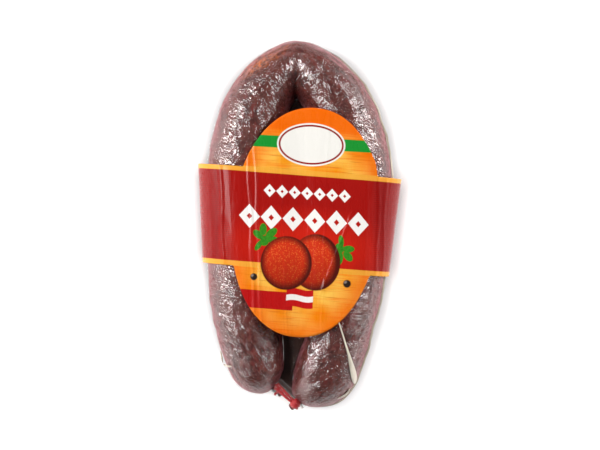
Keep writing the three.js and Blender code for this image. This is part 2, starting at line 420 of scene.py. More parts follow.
def casingMaterial():
    hue = {name: linear(*value) for name, value in sausageLook["colours"].items()}
    material, output = newMaterial("curedCasing")
    place = placeInMm()
    flow = fromAttribute("flow", "Vector")
    tone = noise(flow, 0.11, 3.0, 0.6)
    colour = mixColour(remap(tone, 0.35, 0.65), hue["dark"], hue["base"])
    mottle = noise(flow, 0.55, 4.0, 0.65)
    colour = mixColour(remap(mottle, 0.5, 0.74, 0.0, 0.6), colour, hue["mauve"])
    spots = noise(stretched(flow, (0.8, 1.0, 1.0)), 0.3, 2.0, 0.5)
    colour = mixColour(remap(spots, 0.56, 0.68, 0.0, 0.8), colour, hue["spot"])
    bent = bentBySlowNoise(flow, 0.2, (7.0, 4.0, 4.0))
    hair = noise(stretched(bent, (1.15, 0.34, 0.34)), 1.0, 4.0, 0.7)
    colour = mixColour(remap(hair, 0.46, 0.36, 0.0, 0.7), colour, hue["dark"])
    # Fine pale strokes where a stretched noise crosses its middle value: painted glints of the crinkled film
    # over the casing.
    for stretch, scale, strength in (((1.0, 0.30, 0.30), 1.25, 0.75), ((0.55, 0.75, 0.75), 1.4, 0.5)):
        away = awayFrom(noise(stretched(bent, stretch), scale, 2.0, 0.5), 0.5)
        patchy = remap(mottle, 0.38, 0.6, 0.25, strength)
        paintedGlint = times(remap(away, 0.045, 0.012), patchy)
        colour = mixColour(paintedGlint, colour, hue["hair"])
    # Flecks of fat: cells cut up by fine grain.
    inputs = {"Vector": flow, "Scale": 0.62, "Smoothness": 0.25}
    cells = addNode("TexVoronoi", inputs, feature="SMOOTH_F1")
    grain = noise(flow, 1.7, 3.0, 0.7)
    fat = maths("SUBTRACT", remap(grain, 0.45, 0.75), cells.outputs["Distance"], clamp=True)
    colour = mixColour(times(fat, 1.3, clamp=True), colour, hue["fleck"])
    # Amber smear on the upper left of the bend, a turned ellipse broken by noise.
    inputs = {
        "Vector": place,
        "Location": (-18.4, 81.2, 0.0),
        "Rotation": (0.0, 0.0, math.radians(33)),
        "Scale": (20.0, 5.0, 60.0),
    }
    ellipse = addNode("Mapping", inputs, vector_type="TEXTURE").outputs[0]
    distance = addNode("VectorMath", {0: ellipse}, operation="LENGTH").outputs["Value"]
    smear = maths("SUBTRACT", 1.0, distance, clamp=True)
    smear = times(smear, remap(mottle, 0.4, 0.62, 0.0, 1.6), clamp=True)
    smear = times(smear, remap(hair, 0.40, 0.54, 0.25, 1.3), clamp=True)
    colour = mixColour(smear, colour, hue["amber"])
    # Mauve and speckled where the casing turns away: painted reflection, standing in for the film's pale
    # sheen at the edges.
    facing = addNode("LayerWeight", {"Blend": 0.5}).outputs["Facing"]
    speckle = remap(mottle, 0.40, 0.58, 0.15, 1.0)
    rim = times(remap(facing, 0.45, 0.95), speckle)
    colour = mixColour(rim, colour, hue["rim"])
    height = maths("ADD", times(grain, 0.6), mottle)
    streak = noise(stretched(place, (0.05, 0.17, 0.05)), 1.0, 2.0, 0.5)
    sockets = {
        "Base Color": colour,
        "Roughness": remap(streak, 0.3, 0.7, 0.42, 0.62),
        "Normal": bumped(height, 0.6, 0.0006),
        "Specular IOR Level": 0.22,
        "Sheen Weight": 0.10,
        "Sheen Roughness": 0.45,
        "Sheen Tint": hue["sheen"],
    }
    coverWith(output, sockets)
    return material


filmLook = {
    "rings": {1: 560, -1: 300},
    "sides": 70,
    "grow": -0.1,
    "wall": 0.12,
    "folds": 0.20,
    "foldLength": 2.8,
    "rim": 0.8,
    "rimSteps": 4,
    "pocketEdge": [
        (-16.2, -84.6), (-13.9, -85.6), (-10.0, -88.2), (-6.6, -91.4),
        (-3.8, -93.6), (-0.6, -93.6), (1.9, -92.0),
    ],
    "pocketRadius": 4.1,
    "ridges": [((0.80, 0.19, 0.19), 1.0), ((0.60, 0.32, 0.32), 0.7)],  # pitch per mm, weight
    "ridgeHeight": 0.0002,
    "roughness": 0.12,
    "mostShine": 0.075,
    "tints": {
        "middle": (1.0, 0.95, 0.94, 1.0),
        "edge": (0.86, 0.56, 0.58, 1.0),
        "clear": (0.985, 0.98, 0.975, 1.0),
        "milk": linear(232, 222, 204),
        # painted shade for the gap between the legs
        "gapShade": linear(84, 58, 50),
    },
    # Folded-over pieces of film: points along each (x, y), then the widest width and where it is.
    "pleats": [
        ([(19.0, -48.0), (22.0, -57.5), (24.6, -66.5), (26.4, -74.0), (27.3, -79.7)], 3.0, 0.78),
        ([(18.6, -86.6), (21.0, -85.8), (23.2, -84.2), (24.8, -81.6)], 0.9, 0.55),
        ([(-38.3, -70.3), (-36.0, -70.8), (-33.8, -70.7)], 0.9, 0.4),
        ([(-39.8, -63.6), (-39.2, -66.4), (-38.6, -69.4)], 0.8, 0.5),
    ],
}


def filmFolds(run, turn, stations):
    # Short ridges: across the leg round the bend, slanted on the legs, 1 - |wave| raised to a power.
    bend = np.exp(-(((stations - outline["bendStation"]) / 6.5) ** 2))[:, None]
    lengths = filmLook["foldLength"]
    across = ripple(run, turn, lengths, lengths * 5, 21)
    slanted = ripple(run + 9 * turn, turn, lengths * 1.1, lengths * 4.0, 22)
    patch = smoothStep(-0.6, 1.2, ripple(run, turn, 16, 16, 23))
    ridgeAcross = np.clip(1 - np.abs(across), 0, 1) ** 2
    ridgeSlanted = np.clip(1 - np.abs(slanted), 0, 1) ** 2
    return filmLook["folds"] * (1.7 * bend * ridgeAcross + (1 - 0.6 * bend) * ridgeSlanted * (0.35 + patch))


def webGrid(side, cols=34):
    # The sheet between the legs: rows from the bend to the tied ends, straight across from the left inner
    # edge to the right one, then on to the pocket's edge. It bulges over the string by a cosine dome.
    k = np.linspace(0.0, 1, 130)
    bend = outline["bendStation"]
    left = splineRows(stationRows, bend * (1 - k))[:, 2:4]
    right = splineRows(stationRows, bend + (lastStation - bend) * k)[:, 2:4]
    reach = (right - left) / np.maximum(np.linalg.norm(right - left, axis=1), 0.001)[:, None]
    left, right = left - 0.8 * reach, right + 0.8 * reach  # tucked under the legs
    v = np.linspace(0, 1, cols)[:, None]
    rows = left[:, None] * (1 - v) + right[:, None] * v
    edge = splineRows(filmLook["pocketEdge"], v[:, 0] * (len(filmLook["pocketEdge"]) - 1))
    t = np.linspace(0, 1, 16)[1:, None, None]
    rows = np.concatenate([rows, rows[-1] * (1 - t) + edge * t])
    ends = np.array([stringLook["leftKnot"][:2], stringLook["rightKnot"][:2]])
    reach = ends[1] - ends[0]
    share = np.clip(((rows - ends[0]) @ reach) / (reach @ reach), 0, 1)
    away = np.linalg.norm(rows - ends[0] - share[..., None] * reach, axis=2)
    dome = np.sqrt(np.clip(1 - (away / filmLook["pocketRadius"]) ** 2, 0, 1))
    wave = 0.25 * np.cos(rows[..., 0] * 1.3 + rows[..., 1] * 0.35) + 0.2 * np.cos(rows[..., 1] * 0.9)
    lift = 7.8 if side > 0 else 4.2
    z = mid + side * (0.45 + dome * lift + 0.4 * np.clip(wave, -1, 1) * (1 - dome))
    return np.concatenate([rows, z[..., None]], axis=2)


def restOn(sheet, places):
    # The height of a sheet's own points nearest to each (x, y).
    flat = sheet.reshape(-1, 3)
    gap = ((places[:, None] - flat[None, :, :2]) ** 2).sum(2)
    return flat[gap.argmin(1), 2]


def pleatGrid(sheet, path, width, widest):
    # A thin blade lying on the sheet: its width grows and falls along the path as a skewed half sine, and
    # its section is a low cosine arch.
    run = np.linspace(0, 1, 44)
    centre = splineRows(path, run * (len(path) - 1))
    along = np.gradient(centre, axis=0)
    along /= np.linalg.norm(along, axis=1)[:, None]
    square = np.stack([-along[:, 1], along[:, 0]], axis=1)
    skew = run ** (math.log(0.5) / math.log(widest))
    half = width / 2 * (0.12 + 0.88 * np.sin(np.pi * skew))
    v = np.linspace(-1, 1, 9)
    points = centre[:, None] + square[:, None] * (half[:, None] * v)[..., None]
    rest = restOn(sheet, points.reshape(-1, 2)).reshape(points.shape[:2])
    mean = lambda line: np.convolve(np.pad(line, 4, "edge"), np.ones(9) / 9, "valid")
    slow = np.apply_along_axis(mean, 0, rest)
    arch = 0.18 + 0.45 * np.cos(v * np.pi / 2) + 0.12 * np.sin(run * 25)[:, None] * (1 - v**2)
    z = np.maximum(rest, slow) + arch
    return np.concatenate([points, z[..., None]], axis=2)


def makeFilm(name, side):
    # side is +1 for the upper film and -1 for the lower one.
    look = filmLook
    stations, along = evenStations(look["rings"][side])
    turns = np.linspace(0, np.pi, look["sides"]) * side
    grid = bodyGrid(stations, along, turns, look["grow"])
    turn, run = np.broadcast_arrays(turns, along[:, None])
    fold = filmFolds(run, turn, stations) * np.abs(np.sin(turn)) ** 0.5
    rows = splineRows(stationRows, stations)
    across = (rows[:, :2] - rows[:, 2:4]) / np.linalg.norm(rows[:, :2] - rows[:, 2:4], axis=1)[:, None]
    grid[..., :2] += across[:, None] * (fold * np.cos(turn))[..., None]
    grid[..., 2] += fold * np.sin(turn)
    rightSide = smoothStep(17.5, 20.5, stations) * smoothStep(33.5, 32, stations)
    rim = np.linspace(1, 0, look["rimSteps"], endpoint=False)
    reach = look["rim"] * (0.1 + 0.9 * rightSide)[:, None] * rim
    wave = 0.15 * ripple(run[:, :1], turn[:, :1], 14, 14, 31) * rim
    rimRows = grid[:, :1, :2] + across[:, None] * reach[..., None]
    rimGrid = np.concatenate([rimRows, (mid + 0.07 * side + wave)[..., None]], axis=2)
    milk = np.zeros((len(stations), look["sides"] + look["rimSteps"]))
    milk[:, : look["rimSteps"] + 2] = 0.8 * rightSide[:, None]
    flow = flowAt(run, turn)
    flow = np.concatenate([np.repeat(flow[:, :1], look["rimSteps"], axis=1), flow], axis=1)
    grid = np.concatenate([rimGrid, grid], axis=1)
    web = webGrid(side)
    gloss = 1 - 0.8 * smoothStep(2.3, 2.85, np.abs(turn))
    bend = np.exp(-(((stations - outline["bendStation"]) / 4.5) ** 2))[:, None]
    gloss = gloss * (1 - 0.75 * bend * smoothStep(1.4, 0.8, np.abs(turn)))
    gloss = np.concatenate([np.ones((len(stations), look["rimSteps"])), gloss], axis=1)
    parts = [(grid, flow, milk, 0 * milk, gloss)]
    # Painted shade: the lower sheet between the legs is dark where the gap lies in shadow.
    inside = (web[..., :2] - np.array(stringLook["leftKnot"][:2])) @ np.array((0.678, 0.735))
    webGapShade = smoothStep(-0.5, 2.5, inside) * (side < 0)  # dark up to the string, clear past it
    parts.append((web[:, ::-1], web[:, ::-1], 0 * webGapShade, webGapShade[:, ::-1], 0.35 + 0 * webGapShade))
    if side > 0:
        for path, width, widest in look["pleats"]:
            pleat = pleatGrid(grid, path, width, widest)
            flat = np.ones(pleat.shape[:2])
            parts.append((pleat, pleat, 0.88 * flat, 0 * flat, flat))
    else:
        parts = [tuple(values[:, ::-1] for values in part) for part in parts]
    piece = meshPiece(name, [(part[0], False, False, False) for part in parts])
    flow, *rest = (np.concatenate([part[k].reshape(-1) for part in parts]) for k in range(1, 5))
    addAttribute(piece, "flow", flow, "FLOAT_VECTOR", "vector")
    for label, values in zip(("milk", "gapShade", "gloss"), rest):
        addAttribute(piece, label, values)
    giveWall(piece, look["wall"])
    return piece


def filmMaterial():
    tints = filmLook["tints"]
    material, output = newMaterial("clearFilm")
    flow = fromAttribute("flow", "Vector")
    # Crumpled film: hair-fine ridges, 1 - |2 noise - 1|, drawn out across the leg and bent by slow noise.
    bent = bentBySlowNoise(flow, 0.16, (6.5, 5.0, 5.0))
    height = 0.0
    for stretch, weight in filmLook["ridges"]:
        value = noise(stretched(bent, stretch), 1.0, 2.0, 0.55)
        ridge = maths("ABSOLUTE", maths("MULTIPLY_ADD", value, 2.0, -1.0))
        ridge = maths("SUBTRACT", 1.0, times(ridge, 2.2, clamp=True))
        height = maths("ADD", height, times(ridge, weight))
    # Only the outside of the sheet reflects, pinker towards its edges.
    edge = addNode("Fresnel", {"IOR": 1.5}).outputs[0]
    sockets = {
        "Base Color": mixColour(remap(edge, 0.05, 0.2), tints["middle"], tints["edge"]),
        "Metallic": 1.0,
        "Roughness": filmLook["roughness"],
        "Normal": bumped(height, 1.0, filmLook["ridgeHeight"]),
    }
    shine = addNode("BsdfPrincipled", sockets)
    clear = addNode("BsdfTransparent", {"Color": tints["clear"]})
    outside = maths("SUBTRACT", 1.0, addNode("NewGeometry").outputs["Backfacing"])
    amount = maths("MINIMUM", times(edge, 1.7), filmLook["mostShine"])
    amount = times(amount, remap(height, 0.25, 1.35, 0.12, 2.1))
    outside = times(outside, fromAttribute("gloss"))
    amount = times(amount, outside)
    glint = addNode("MixShader", {0: amount, 1: clear.outputs[0], 2: shine.outputs[0]})
    # The milky seal and pleats, and painted shade making the floor of the gap dark, standing in for the
    # shadow between the legs.
    milk, gapShade = fromAttribute("milk"), fromAttribute("gapShade")
    tint = mixColour(gapShade, tints["milk"], tints["gapShade"])
    solid = addNode("BsdfPrincipled", {"Base Color": tint, "Roughness": 0.35})
    cover = maths("MAXIMUM", milk, times(gapShade, 0.97))
    mixed = addNode("MixShader", {0: cover, 1: glint.outputs[0], 2: solid.outputs[0]})
    plug(output.inputs["Surface"], mixed.outputs[0])
    return material


sleeve = {
    "wall": 0.35,
    "centre": -0.86,
    "drift": 0.042,  # of the centre, per mm towards the bend
    "halfWidth": 48.75,
    "widening": 0.0875,  # of the half width, per mm towards the bend
    "endRadius": 21.5,
    "rows": 84,
    "frontCols": 200,
    "sideCols": 100,
    "backCols": 40,
    "slope": 0.077,  # the print drops this much per mm towards +X
    "top": 26.2,
    "bottom": -22.9,
    "oval": (2.9, 0.7, 36.5, 56.6, -5.3),  # middle, half sizes, turn
    "fullness": 2.1,
    # Vertical creases on the front: x, half width, height.
    "creases": [
        (-38.6, 1.1, 0.6), (-24.4, 0.8, 0.5), (-21.0, 0.8, 0.5), (38.6, 0.8, 0.5),
        (41.8, 0.8, 0.4), (32.8, 0.6, 0.3), (12.6, 0.6, 0.15), (-8.6, 0.6, 0.15),
    ],
}


def sleevePoint(angle, y):
    # A flat-topped tube: straight runs between two elliptical ends. angle runs 0 to 4: front left to right,
    # right end down, back right to left, left end up.
    centre = sleeve["centre"] + sleeve["drift"] * y
    straight = sleeve["halfWidth"] + sleeve["widening"] * y - sleeve["endRadius"]
    rx, rz = sleeve["endRadius"], mid
    run = angle % 1
    swing = np.pi * run
    x = np.select(
        [angle < 1, angle < 2, angle < 3],
        [
            centre + straight * (2 * run - 1),
            centre + straight + rx * np.sin(swing),
            centre - straight * (2 * run - 1),
        ],
        centre - straight - rx * np.sin(swing),
    )
    z = np.select([angle < 1, angle < 2, angle < 3], [rz, rz * np.cos(swing), -rz], -rz * np.cos(swing))
    return x, mid + z


def ovalReach(x, side):
    # The y of the oval's edge above (+1) or below (-1) its middle at x, or nothing outside it. The oval is a
    # turned superellipse: half widths times cos and sin raised to 2 / fullness.
    cx, cy, halfWidth, halfLength, turn = sleeve["oval"]
    angle = np.linspace(0, 2 * np.pi, 721)
    swell = lambda part: np.sign(part) * np.abs(part) ** (2 / sleeve["fullness"])
    px, py = halfWidth * swell(np.cos(angle)), halfLength * swell(np.sin(angle))
    c, s = math.cos(math.radians(turn)), math.sin(math.radians(turn))
    px, py = cx + c * px - s * py, cy + s * px + c * py
    order = np.roll(np.arange(720), -px[:720].argmin())
    px, py = px[order], py[order]  # from the leftmost point round by the bottom
    turnPoint = px.argmax()
    if side < 0:
        return np.interp(x, px[: turnPoint + 1], py[: turnPoint + 1], left=np.nan, right=np.nan)
    return np.interp(x, px[turnPoint:][::-1], py[turnPoint:][::-1], left=np.nan, right=np.nan)


def makeSleeve():
    look = sleeve
    counts = (look["frontCols"], look["sideCols"], look["backCols"], look["sideCols"])
    angles = np.concatenate([k + np.linspace(0, 1, count, endpoint=False) for k, count in enumerate(counts)])
    onFront = (angles < 1.5) | (angles > 3.5)
    share = np.linspace(0, 1, look["rows"])[:, None]
    y = np.zeros((look["rows"], len(angles)))
    for _ in range(3):
        x, z = sleevePoint(angles, y)
        top = look["top"] - look["slope"] * x
        bottom = look["bottom"] - look["slope"] * x
        ovalTop, ovalBottom = ovalReach(x, 1), ovalReach(x, -1)
        top = np.where(onFront & (z > mid), np.fmax(top, ovalTop), top)
        bottom = np.where(onFront & (z > mid), np.fmin(bottom, ovalBottom), bottom)
        y = bottom + (top - bottom) * share
    x, z = sleevePoint(angles, y)
    front = smoothStep(mid + 8, mid + 16, z)
    sag = 1.2 * np.exp(-(((x - 0.3) / 7.5) ** 2)) + 0.08 * (1 + np.cos(x / 3.1 + y / 17))
    z = z - front * sag
    for cx, wide, tall in look["creases"]:
        line = cx + math.copysign(0.035, cx) * (y - 4) + 0.35 * np.sin(y / 6 + cx)
        ridge = np.clip(1 - np.abs(x - line) / (wide * 1.6), 0, 1) ** 1.5
        outward = smoothStep(mid - 4, mid + 8, z)
        z = z + tall * ridge * outward
    # One slanting fold over the right slice, then the whole sleeve lowered by its own wall.
    fold = np.clip(1 - np.abs((x - 21.5) - (y + 5) * 0.385) / 1.3, 0, 1)
    fold = fold * smoothStep(-36, -30, y) * smoothStep(9, 2, y)
    z = z + 0.45 * fold * front - look["wall"]
    piece = meshPiece("printed_sleeve", [(np.stack([x, y, z], axis=2), True, False, False)])
    giveWall(piece, look["wall"])
    return piece


def spotGroup(name, rounded):
    # An oval or a box in the print's plane: 1 inside, 0 outside, over a soft edge. Sizes in mm.
    group, given, out = newGroup(
        name,
        [
            ("Vector", "Vector", None),
            ("Centre", "Vector", (0, 0, 0)),
            ("Half Size", "Vector", (1, 1, 1)),
            ("Turn", "Float", 0.0),
            ("Softness", "Float", 0.2),
        ],
        [("Mask", "Float"), ("Distance", "Float")],
    )
    moved = vectorMaths("SUBTRACT", given["Vector"], given["Centre"])
    inputs = {"Vector": moved, "Angle": times(given["Turn"], -math.pi / 180)}
    turned = addNode("VectorRotate", inputs, rotation_type="Z_AXIS").outputs[0]
    shares = separated(vectorMaths("DIVIDE", turned, given["Half Size"]))
    half = separated(given["Half Size"])
    ax, ay = maths("ABSOLUTE", shares[0]), maths("ABSOLUTE", shares[1])
    if rounded:
        squares = maths("ADD", maths("POWER", ax, 2.0), maths("POWER", ay, 2.0))
        distance = maths("SQRT", squares)
        smaller = maths("MINIMUM", half[0], half[1])
        inside = times(maths("SUBTRACT", 1.0, distance), smaller)
    else:
        distance = maths("MAXIMUM", ax, ay)
        insideX = times(maths("SUBTRACT", 1.0, ax), half[0])
        insideY = times(maths("SUBTRACT", 1.0, ay), half[1])
        inside = maths("MINIMUM", insideX, insideY)
    mask = maths("ADD", maths("DIVIDE", inside, given["Softness"]), 0.5, clamp=True)
    plug(out["Mask"], mask)
    plug(out["Distance"], distance)
    return group


ovalSpot = spotGroup("ovalSpot", True)
boxSpot = spotGroup("boxSpot", False)


def spot(group, vector, centre, half, turn=0.0, soft=0.25, output="Mask"):
    inputs = {
        "Vector": vector,
        "Centre": (centre[0], centre[1], 0.0),
        "Half Size": (half[0], half[1], 1.0),
        "Turn": turn,
        "Softness": soft,
    }
    return addNode("Group", inputs, node_tree=group).outputs[output]


printLook = {
    "inks": {
        "red": (166, 22, 18),
        "redBright": (206, 36, 22),
        # painted shade for the band's two ends
        "redSideShade": (144, 20, 20),
        "redLine": (120, 14, 12),
        "gold": (243, 172, 62),
        "orange": (244, 104, 8),
        "woodLine": (196, 92, 22),
        "yellow": (246, 150, 18),
        "paleYellow": (254, 198, 84),
        "green": (32, 148, 52),
        "lozenge": (250, 246, 242),
        "panel": (246, 243, 236),
        "ring": (150, 24, 22),
        "ribbon": (186, 24, 24),
        "ribbonEnd": (196, 26, 26),
        "ribbonStripe": (248, 242, 236),
        "leaf": (74, 168, 40),
        "leafDark": (24, 104, 30),
        "rind": (84, 26, 20),
        "faceRed": (204, 46, 26),
        "faceWarm": (220, 66, 30),
        "faceOrange": (238, 112, 54),
        "faceDark": (120, 20, 12),
        "pepper": (46, 36, 32),
        "pepperLight": (180, 170, 165),
    },
    # Soft edges on the slanted lines, each from bare to full ink.
    "goldTop": (26.8, 26.4),
    "bandTop": (24.1, 23.8),
    "bandBottom": (-20.6, -20.3),
    # Rows of lozenges: height of the row, half height, left end, pitch, count.
    "lozenges": [(15.3, 3.2, -18.0, 6.15, 7), (2.1, 5.9, -30.2, 10.7, 6)],
    # Parsley: middle, size and turn of each sprig, and its lobes as (dx, dy, long, wide, turn).
    "parsley": [((-17.2, -6.6), 1.0, -20.0), ((20.3, -13.4), 1.0, 200.0)],
    "lobes": [
        (2.2, 3.0, 3.4, 1.9, 60.0),
        (-2.2, 3.4, 3.0, 1.8, 110.0),
        (4.0, 0.2, 2.8, 1.7, 15.0),
        (-3.6, 0.2, 3.0, 1.7, 160.0),
        (0.4, -1.6, 2.6, 2.2, 85.0),
        (-1.6, -4.6, 3.0, 1.3, 75.0),
    ],
    # Slices: middle, half sizes, middle of the cut face. The first lies behind.
    "slices": [((7.6, -18.9), (12.2, 13.9), (6.5, -18.6)), ((-6.8, -19.2), (12.6, 13.2), (-7.2, -18.8))],
    "peppercorns": [(-22.7, -25.9, 1.7), (23.1, -29.4, 1.9)],
}


def boardColour(ink, flat, x, v):
    # Yellow wood that turns orange towards the oval's rim, and a green stripe across it.
    def grained(pitchX, pitchV, layer, detail, roughness):
        across, along = times(x, pitchX), times(v, pitchV)
        return noise(combined(across, along, layer), 1.0, detail, roughness)

    blotch = noise(flat, 0.07, 1.0, 0.5)
    streaks, lines = grained(0.035, 0.75, 0.0, 4.0, 0.6), grained(0.05, 1.7, 3.0, 2.0, 0.5)
    wood = mixColour(remap(blotch, 0.35, 0.62), ink["yellow"], ink["paleYellow"])
    wood = mixColour(remap(streaks, 0.5, 0.68, 0.0, 0.6), wood, ink["orange"])
    wood = mixColour(remap(lines, 0.6, 0.68, 0.0, 0.65), wood, ink["woodLine"])
    oval = sleeve["oval"]
    toRim = spot(ovalSpot, flat, oval[:2], oval[2:4], oval[4], output="Distance")
    glow = times(remap(toRim, 0.72, 0.97), 0.75)
    for fromV, toV, strength in ((39.0, 47.0, 0.95), (-38.0, -52.0, 0.55)):
        glow = maths("MAXIMUM", glow, remap(v, fromV, toV, 0.0, strength))
    colour = mixColour(glow, wood, ink["orange"])
    stripe = spot(boxSpot, flat, (5.0, 39.6), (60.0, 2.9), -3.2)
    return mixColour(stripe, colour, ink["green"])


def bandColour(ink, flat, x, v):
    # Red, brighter in the middle, with painted shade darkening the two ends where the sleeve turns away, and
    # finely ruled at the two ends.
    glow = spot(ovalSpot, flat, (3.0, -12.0), (34.0, 15.0), -4.0, 14.0)
    red = mixColour(glow, ink["red"], ink["redBright"])
    # Painted shade: darker towards the two ends, where the sleeve turns away from the light.
    darker = remap(awayFrom(x, -0.5), 36.5, 40.5, 0.0, 0.7)
    red = mixColour(darker, red, ink["redSideShade"])
    ruled = maths("SINE", times(v, 2 * math.pi / 0.95))
    ends = remap(awayFrom(x, 1.5), 33.0, 36.0)
    ruled = times(remap(ruled, -1.0, 1.0, 0.0, 0.45), ends)
    return mixColour(ruled, red, ink["redLine"])


def lozengeMask(x, v, row):
    # |x| + |y| in shares of the half sizes, with an open middle.
    middle, half, first, pitch, count = row
    share = maths("DIVIDE", maths("SUBTRACT", x, first), pitch)
    inRow = maths("COMPARE", maths("DIVIDE", share, float(count)), 0.5, 0.5)
    across = times(awayFrom(maths("FRACT", share), 0.5), 2.08)
    away = maths("ADD", across, maths("DIVIDE", awayFrom(v, middle), half))
    soft, hole = 0.12 / half, 0.26
    shape = times(remap(away, 1.0 + soft, 1.0 - soft), inRow)
    return maths("SUBTRACT", shape, remap(away, hole + soft, hole - soft), clamp=True)


def addPlainShapes(ink, colour, flat, x, y):
    # The blank panel with its ring, then the ribbon with a wavy striped end.
    wave = times(maths("SINE", times(x, 0.45)), 0.5)
    waved = combined(x, maths("ADD", y, wave), 0.0)
    panel = (5.5, 39.0)
    for group, vector, centre, half, turn, name in (
        (ovalSpot, flat, panel, (16.8, 10.6), -3.0, "panel"),
        (ovalSpot, flat, panel, (16.0, 9.8), -3.0, "ring"),
        (ovalSpot, flat, panel, (15.1, 8.9), -3.0, "panel"),
        (boxSpot, flat, (-17.0, -37.2), (13.5, 4.4), -4.5, "ribbon"),
        (boxSpot, waved, (-0.2, -36.6), (6.6, 4.5), -3.0, "ribbonEnd"),
        (boxSpot, waved, (-0.2, -36.6), (6.6, 1.4), -3.0, "ribbonStripe"),
    ):
        colour = mixColour(spot(group, vector, centre, half, turn), colour, ink[name])
    return colour


def addParsley(ink, colour, flat):
    tone = mixColour(noise(flat, 0.9, 2.0), ink["leafDark"], ink["leaf"])
    for (cx, cy), size, turn in printLook["parsley"]:
        c, s = math.cos(math.radians(turn)), math.sin(math.radians(turn))
        mask = 0.0
        for dx, dy, longer, wider, lobeTurn in printLook["lobes"]:
            at = (cx + size * (c * dx - s * dy), cy + size * (s * dx + c * dy))
            lobe = spot(ovalSpot, flat, at, (longer * size, wider * size), lobeTurn + turn, 0.3)
            mask = maths("MAXIMUM", mask, lobe)
        colour = mixColour(mask, colour, tone)
    return colour


def addSlices(ink, colour, flat, y):
    cells = addNode("TexVoronoi", {"Vector": flat, "Scale": 1.1}, feature="F1")
    grain = noise(flat, 1.6, 3.0, 0.7)
    face = mixColour(remap(grain, 0.35, 0.7), ink["faceRed"], ink["faceWarm"])
    fat = remap(cells.outputs["Distance"], 0.42, 0.15, 0.0, 0.9)
    face = mixColour(fat, face, ink["faceOrange"])
    face = mixColour(remap(y, -14.0, -31.0, 0.0, 0.6), face, ink["faceDark"])
    for centre, half, faceCentre in printLook["slices"]:
        whole = spot(ovalSpot, flat, centre, half, 0.0, 0.4)
        colour = mixColour(whole, colour, ink["rind"])
        cut = spot(ovalSpot, flat, faceCentre, (half[0] - 2.2, half[1] - 2.0), 0.0, 3.2)
        colour = mixColour(cut, colour, face)
    return colour


def addPeppercorns(ink, colour, flat):
    for x, y, r in printLook["peppercorns"]:
        colour = mixColour(spot(ovalSpot, flat, (x, y), (r, r), 0.0, 0.5), colour, ink["pepper"])
        light = spot(ovalSpot, flat, (x - 0.4 * r, y + 0.4 * r), (r * 0.4, r * 0.3), 30.0, 0.5)
        colour = mixColour(times(light, 0.5), colour, ink["pepperLight"])
    return colour


def sleeveMaterial():
    ink = {name: linear(*value) for name, value in printLook["inks"].items()}
    material, output = newMaterial("printedSleeve")
    shiftX, shiftY = outline["shift"]
    inputs = {
        "Vector": addNode("TexCoord").outputs["Object"],
        "Scale": (1000.0, 1000.0, 1000.0),
        "Location": (-shiftX, -shiftY, 0.0),
    }
    x, y, z = separated(addNode("Mapping", inputs).outputs[0])
    flat = combined(x, y, 0.0)
    # v is the height on the print's slanted lines.
    v = maths("ADD", y, times(x, sleeve["slope"]))
    colour = boardColour(ink, flat, x, v)
    # Gold borders, then the red band.
    aboveEdge = remap(maths("SUBTRACT", v, sleeve["bottom"]), -0.2, 0.1)
    gold = times(aboveEdge, remap(v, *printLook["goldTop"]))
    colour = mixColour(times(gold, 0.8), colour, ink["gold"])
    band = (remap(v, *printLook[edge]) for edge in ("bandBottom", "bandTop"))
    band = times(*band)
    red = bandColour(ink, flat, x, v)
    colour = mixColour(band, colour, red)
    for row in printLook["lozenges"]:
        colour = mixColour(lozengeMask(x, v, row), colour, ink["lozenge"])
    colour = addPlainShapes(ink, colour, flat, x, y)
    colour = addParsley(ink, colour, flat)
    colour = addSlices(ink, colour, flat, y)
    colour = addPeppercorns(ink, colour, flat)
    # The back is plain red.
    back = maths("SUBTRACT", 1.0, remap(z, mid - 1.0, mid + 1.0))
    colour = mixColour(times(back, band), colour, red)
    crumple = noise(stretched(flat, (1.0, 0.22, 1.0)), 0.35, 3.0, 0.55)
    sockets = {
        "Base Color": colour,
        "Roughness": remap(crumple, 0.3, 0.7, 0.22, 0.34),
        "Normal": bumped(crumple, 0.5, 0.0008),
        "Specular IOR Level": 0.1,
        "Coat Weight": 0.18,
        "Coat Roughness": 0.05,
    }
    coverWith(output, sockets)
    return material


clipLook = {
    "inner": 1.55,
    "outer": 2.4,
    "width": 1.7,
    "from": 0.5,
    "steps": 56,
    "colour": linear(196, 198, 202),
}


def makeClip(name, neck):
    # A crimped ring: a rounded rectangular section turned round the neck, its outside pressed in by cosines.
    look = clipLook
    start, out, _ = neck
    out = np.array([*out, 0.0]) / np.linalg.norm(out)
    square = np.array([-out[1], out[0], 0.0])
    up = np.array([0, 0, 1.0])
    corner = np.linspace(0, 2 * np.pi, 20, endpoint=False)
    powered = lambda f: np.sign(f) * np.abs(f) ** 0.45
    inner, outer, halfWidth = look["inner"], look["outer"], look["width"] / 2
    radial = (inner + outer) / 2 + (outer - inner) / 2 * powered(np.cos(corner))
    along = look["from"] + halfWidth + halfWidth * powered(np.sin(corner))
    turn = np.linspace(0, 2 * np.pi, look["steps"], endpoint=False)[:, None]
    pressed = 1 - 0.06 * (1 + np.cos(4 * turn)) * (radial > inner + 0.3)
    ring = (square * np.cos(turn)[..., None] + up * np.sin(turn)[..., None]) * (radial * pressed)[..., None]
    points = np.array([*start, mid]) + ring + out * along[None, :, None]
    grid = np.concatenate([points, points[:1]])
    piece = meshPiece(name, [(grid, True, False, False)])
    faceOut(piece)
    return piece


def clipMaterial():
    material, output = newMaterial("clipMetal")
    place = addNode("TexCoord").outputs["Object"]
    scratch = noise(stretched(place, (3000.0, 900.0, 3000.0)), 1.0, 3.0)
    sockets = {
        "Base Color": clipLook["colour"],
        "Metallic": 1.0,
        "Roughness": remap(scratch, 0.3, 0.7, 0.22, 0.42),
        "Normal": bumped(scratch, 0.2, 0.0002),
    }
    coverWith(output, sockets)
    return material


